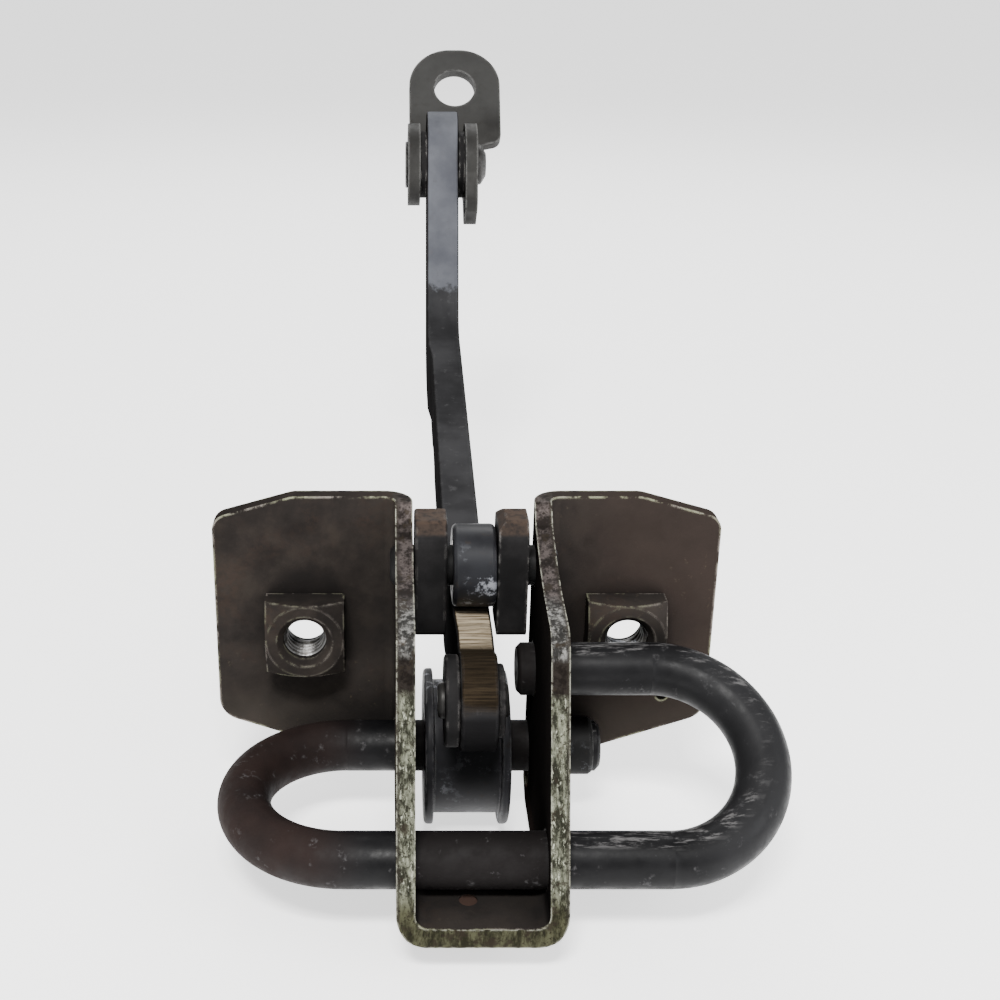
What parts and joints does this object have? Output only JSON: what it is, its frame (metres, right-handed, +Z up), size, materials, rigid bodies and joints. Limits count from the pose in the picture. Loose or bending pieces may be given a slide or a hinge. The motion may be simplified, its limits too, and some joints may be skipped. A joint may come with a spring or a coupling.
{
  "type": "door check strap",
  "caption": "Door check: a flat arm slides between two rollers in a sheet-steel channel, pressed by a bent spring bar, with a pivoting bracket at its far end.",
  "frame": {"origin": "middle of the two bolt holes, on the back face of the flanges, which lies against the door edge", "axes": "+X across the flanges, +Y away from the channel towards the pivot bracket, +Z up along the roller side"},
  "size_m": [0.098, 0.2175, 0.1213],
  "materials": {
    "bracket_steel": "worn, dark brown oxide over zinc",
    "nut_steel": "worn dark zinc",
    "spring_steel": "dark oiled spring steel",
    "retainer_steel": "dark",
    "roller_steel": "dark polished by wear",
    "bronze": "dull bronze",
    "pin_steel": "turned steel",
    "buffer_plastic": "black, greasy",
    "arm_steel": "worn zinc plated steel",
    "pillar_steel": "dark warm grey",
    "washer_plastic": "dark nylon"
  },
  "bodies": {
    "channel": {"bracket": "bracket_steel", "weld_nut_left": "nut_steel", "weld_nut_right": "nut_steel", "torsion_spring": "spring_steel", "spring_retainer": "retainer_steel", "upper_roller_pin": "pin_steel", "guide_block_left": "buffer_plastic", "guide_block_right": "buffer_plastic"},
    "arm": {"check_arm": "arm_steel", "stop_pin": "pin_steel", "stop_sleeve_left": "buffer_plastic", "stop_sleeve_right": "buffer_plastic", "pivot_bush": "bronze"},
    "upper_wheel": {"upper_roller": "roller_steel", "upper_roller_bush": "bronze"},
    "lower_wheel": {"lower_roller": "roller_steel", "lower_roller_bush": "bronze"},
    "pillar": {"pivot_bracket": "pillar_steel", "pivot_pin": "pin_steel", "pivot_washer_left": "washer_plastic", "pivot_washer_right": "washer_plastic"}
  },
  "joints": [
    {"name": "arm_slide", "type": "slide", "parent": "channel", "child": "arm", "axis": [0, 0.989, 0.1478], "range_m": [-0.085, 0.006]},
    {"name": "upper_roller_turn", "type": "hinge", "parent": "channel", "child": "upper_wheel", "pos_m": [0.00095, -0.00876, 0.01494], "axis": [1, 0, 0], "range_deg": [-673, 49]},
    {"name": "lower_roller_turn", "type": "hinge", "parent": "channel", "child": "lower_wheel", "pos_m": [0.00095, -0.0084, -0.0213], "axis": [1, 0, 0], "range_deg": [-30, 406]},
    {"name": "pillar_pivot", "type": "hinge", "parent": "arm", "child": "pillar", "pos_m": [-0.00025, 0.13081, 0.06103], "axis": [1, 0, 0], "range_deg": [-20, 30]}
  ],
  "couplings": [
    {"joint": "upper_roller_turn", "follows": "arm_slide", "rad_per_m": 137.93},
    {"joint": "lower_roller_turn", "follows": "arm_slide", "rad_per_m": -82.988}
  ]
}
